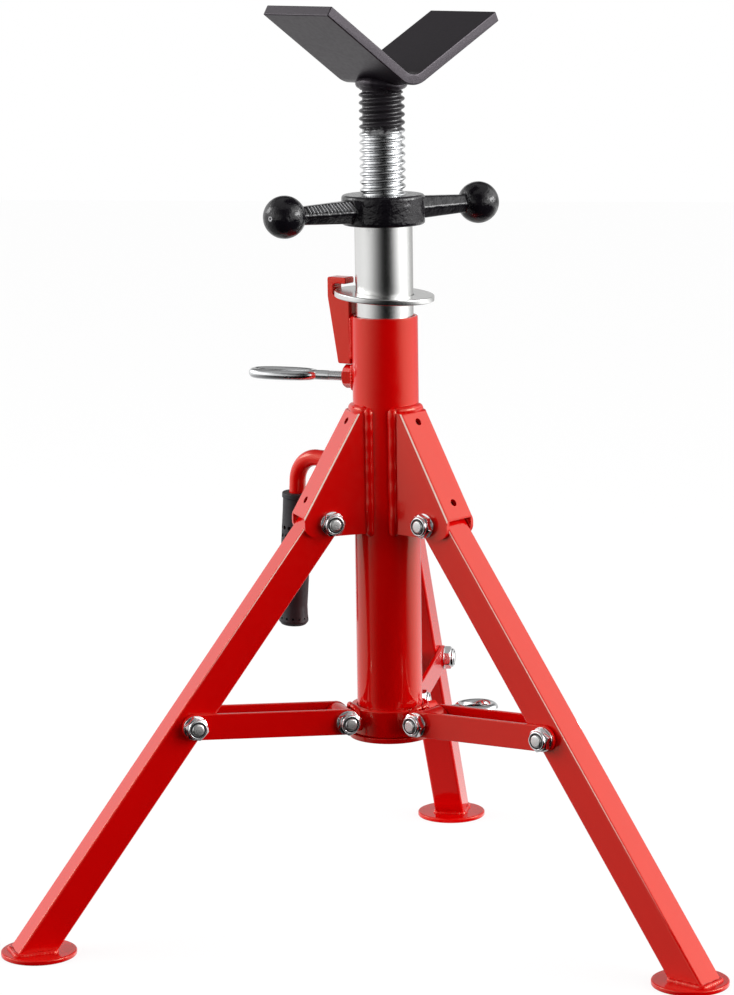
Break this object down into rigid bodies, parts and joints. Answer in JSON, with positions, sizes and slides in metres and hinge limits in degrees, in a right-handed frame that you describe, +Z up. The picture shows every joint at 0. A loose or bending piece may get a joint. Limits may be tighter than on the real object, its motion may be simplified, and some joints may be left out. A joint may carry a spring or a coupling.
{
  "type": "pipe jack stand",
  "caption": "Folding tripod stand with a sliding post, a hand-turned jack screw and a V head that holds a pipe at working height.",
  "frame": {"origin": "on the floor, midway between the outermost points of the feet along X and Y", "axes": "+Z up along the column; one leg points along +Y, the other two are turned 120 degrees from it"},
  "size_m": [0.554, 0.4875, 0.7114],
  "materials": {
    "red_paint": "glossy powder coat",
    "rubber": "matt",
    "zinc": "bright zinc plate",
    "steel": "satin zinc plate",
    "gloss_black": "glossy black enamel",
    "satin_black": "satin black powder coat"
  },
  "bodies": {
    "column": {"outer_tube": "red_paint", "stop_flange": "red_paint", "hook_bracket": "red_paint", "clamp_boss": "red_paint", "carry_bar": "red_paint", "carry_grip": "rubber", "bracket_rear": "red_paint", "pivot_bolt_rear": "zinc", "pivot_nut_rear": "zinc", "bracket_left": "red_paint", "pivot_bolt_left": "zinc", "pivot_nut_left": "zinc", "bracket_right": "red_paint", "pivot_bolt_right": "zinc", "pivot_nut_right": "zinc"},
    "collar": {"collar": "red_paint", "collar_boss": "red_paint", "collar_bolt_rear": "zinc", "collar_nut_rear": "zinc", "collar_bolt_left": "zinc", "collar_nut_left": "zinc", "collar_bolt_right": "zinc", "collar_nut_right": "zinc"},
    "collar_screw": {"collar_screw": "zinc"},
    "inner_post": {"inner_post": "steel"},
    "spin_handle": {"spin_handle": "gloss_black"},
    "screw_lift": {"jack_screw": "zinc", "v_head": "satin_black"},
    "lock_ring": {"lock_ring": "steel"},
    "clamp_screw": {"clamp_screw": "zinc"},
    "leg_rear": {"leg_rear": "red_paint", "foot_rear": "red_paint", "link_bolt_rear": "zinc"},
    "link_rear": {"link_bar_near_rear": "red_paint", "link_bar_far_rear": "red_paint", "link_bolt_head_rear": "zinc", "link_nut_rear": "zinc"},
    "leg_left": {"leg_left": "red_paint", "foot_left": "red_paint", "link_bolt_left": "zinc"},
    "link_left": {"link_bar_near_left": "red_paint", "link_bar_far_left": "red_paint", "link_bolt_head_left": "zinc", "link_nut_left": "zinc"},
    "leg_right": {"leg_right": "red_paint", "foot_right": "red_paint", "link_bolt_right": "zinc"},
    "link_right": {"link_bar_near_right": "red_paint", "link_bar_far_right": "red_paint", "link_bolt_head_right": "zinc", "link_nut_right": "zinc"}
  },
  "joints": [
    {"name": "collar_slide", "type": "slide", "parent": "column", "child": "collar", "axis": [0, 0, 1], "range_m": [0, 0.088]},
    {"name": "leg_rear_fold", "type": "hinge", "parent": "column", "child": "leg_rear", "pos_m": [0, -0.0211, 0.3189], "axis": [-1, 0, 0], "range_deg": [0, 26.93]},
    {"name": "link_rear_swing", "type": "hinge", "parent": "collar", "child": "link_rear", "pos_m": [0, -0.0313, 0.16184], "axis": [-1, 0, 0], "range_deg": [0, 73.17]},
    {"name": "leg_left_fold", "type": "hinge", "parent": "column", "child": "leg_left", "pos_m": [-0.04373, -0.09685, 0.3189], "axis": [0.5, -0.866, 0], "range_deg": [0, 26.93]},
    {"name": "link_left_swing", "type": "hinge", "parent": "collar", "child": "link_left", "pos_m": [-0.0349, -0.09176, 0.16184], "axis": [0.5, -0.866, 0], "range_deg": [0, 73.17]},
    {"name": "leg_right_fold", "type": "hinge", "parent": "column", "child": "leg_right", "pos_m": [0.04373, -0.09685, 0.3189], "axis": [0.5, 0.866, 0], "range_deg": [0, 26.93]},
    {"name": "link_right_swing", "type": "hinge", "parent": "collar", "child": "link_right", "pos_m": [0.0349, -0.09176, 0.16184], "axis": [0.5, 0.866, 0], "range_deg": [0, 73.17]},
    {"name": "collar_screw_turn", "type": "hinge", "parent": "collar", "child": "collar_screw", "pos_m": [0.06235, -0.0356, 0.15953], "axis": [0.866, 0.5, 0], "range_deg": [0, 720]},
    {"name": "post_slide", "type": "slide", "parent": "column", "child": "inner_post", "axis": [0, 0, 1], "range_m": [-0.038, 0.18]},
    {"name": "handle_spin", "type": "hinge", "parent": "inner_post", "child": "spin_handle", "pos_m": [0, -0.07161, 0.5554], "axis": [0, 0, 1], "range_deg": [-5400, 4200]},
    {"name": "screw_lift_slide", "type": "slide", "parent": "inner_post", "child": "screw_lift", "axis": [0, 0, 1], "range_m": [-0.0701, 0.0901]},
    {"name": "lock_ring_tilt", "type": "hinge", "parent": "column", "child": "lock_ring", "pos_m": [-0.03713, -0.062, 0.4903], "axis": [-0.2504, -0.9681, 0], "range_deg": [0, 4]},
    {"name": "clamp_screw_turn", "type": "hinge", "parent": "column", "child": "clamp_screw", "pos_m": [-0.08329, -0.05466, 0.4263], "axis": [-0.9799, 0.1994, 0], "range_deg": [0, 720]}
  ],
  "couplings": [
    {"joint": "leg_rear_fold", "follows": "collar_slide", "rad_per_m": 5.3401},
    {"joint": "link_rear_swing", "follows": "collar_slide", "rad_per_m": 14.511},
    {"joint": "leg_left_fold", "follows": "collar_slide", "rad_per_m": 5.3401},
    {"joint": "link_left_swing", "follows": "collar_slide", "rad_per_m": 14.511},
    {"joint": "leg_right_fold", "follows": "collar_slide", "rad_per_m": 5.3401},
    {"joint": "link_right_swing", "follows": "collar_slide", "rad_per_m": 14.511},
    {"joint": "screw_lift_slide", "follows": "handle_spin", "m_per_rad": -0.00095493}
  ]
}
